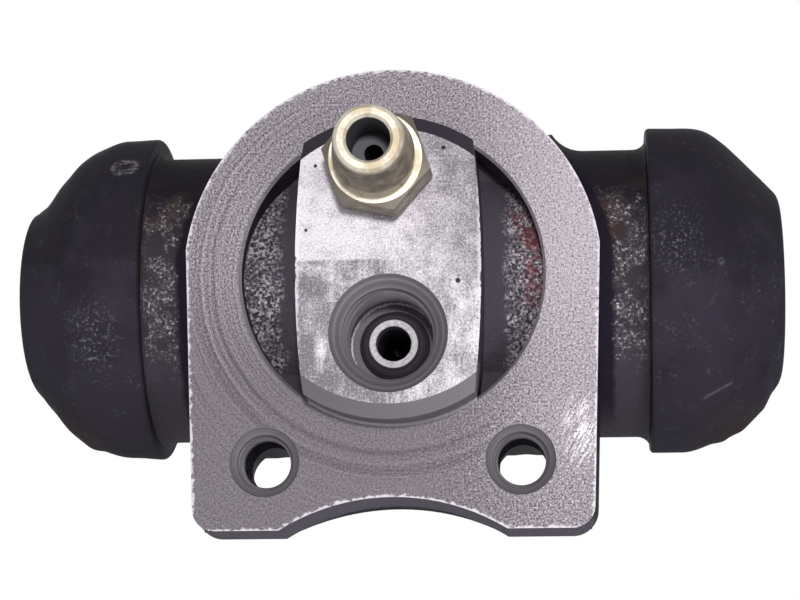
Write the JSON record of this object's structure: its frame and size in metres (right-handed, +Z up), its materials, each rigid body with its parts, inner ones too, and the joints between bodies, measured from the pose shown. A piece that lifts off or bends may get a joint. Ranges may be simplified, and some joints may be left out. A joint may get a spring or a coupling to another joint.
{
  "type": "wheel cylinder",
  "caption": "Drum-brake hydraulic wheel cylinder: cast barrel with bolted flange, pilot boss with pipe port and bleed screw, sprung pistons behind rubber dust boots.",
  "frame": {"origin": "middle of the pilot boss in the plane of the mounting face", "axes": "+X along the bore to the right end as seen on the mounting face, +Z up towards the bleed screw, -Y out of the mounting face"},
  "size_m": [0.0842, 0.0553, 0.0502],
  "materials": {
    "cast_iron": "dark rough cast skin with pale machined mounting faces",
    "boot_rubber": "matte black moulded rubber",
    "plated_steel": "yellow passivated plating",
    "piston_alloy": "turned",
    "cup_rubber": "smooth black rubber",
    "spring_steel": "bright drawn steel"
  },
  "bodies": {
    "housing": {"housing": "cast_iron", "dust_boot_left": "boot_rubber", "dust_boot_right": "boot_rubber", "expander_spring": "spring_steel"},
    "piston_left": {"piston_left": "piston_alloy", "cup_seal_left": "cup_rubber", "spring_seat_left": "spring_steel"},
    "piston_right": {"piston_right": "piston_alloy", "cup_seal_right": "cup_rubber", "spring_seat_right": "spring_steel"},
    "bleed_screw": {"bleed_screw": "plated_steel"}
  },
  "joints": [
    {"name": "piston_left_slide", "type": "slide", "parent": "housing", "child": "piston_left", "axis": [-1, 0, 0], "range_m": [-0.003, 0.006], "stiffness_N_per_m": 500, "deforming": ["dust_boot_left", "expander_spring"]},
    {"name": "piston_right_slide", "type": "slide", "parent": "housing", "child": "piston_right", "axis": [1, 0, 0], "range_m": [-0.003, 0.006], "stiffness_N_per_m": 500, "deforming": ["dust_boot_right", "expander_spring"]},
    {"name": "bleed_screw_turn", "type": "hinge", "parent": "housing", "child": "bleed_screw", "pos_m": [-0.00085, -0.006, 0.0103], "axis": [0, -1, 0], "range_deg": [0, 180]}
  ]
}
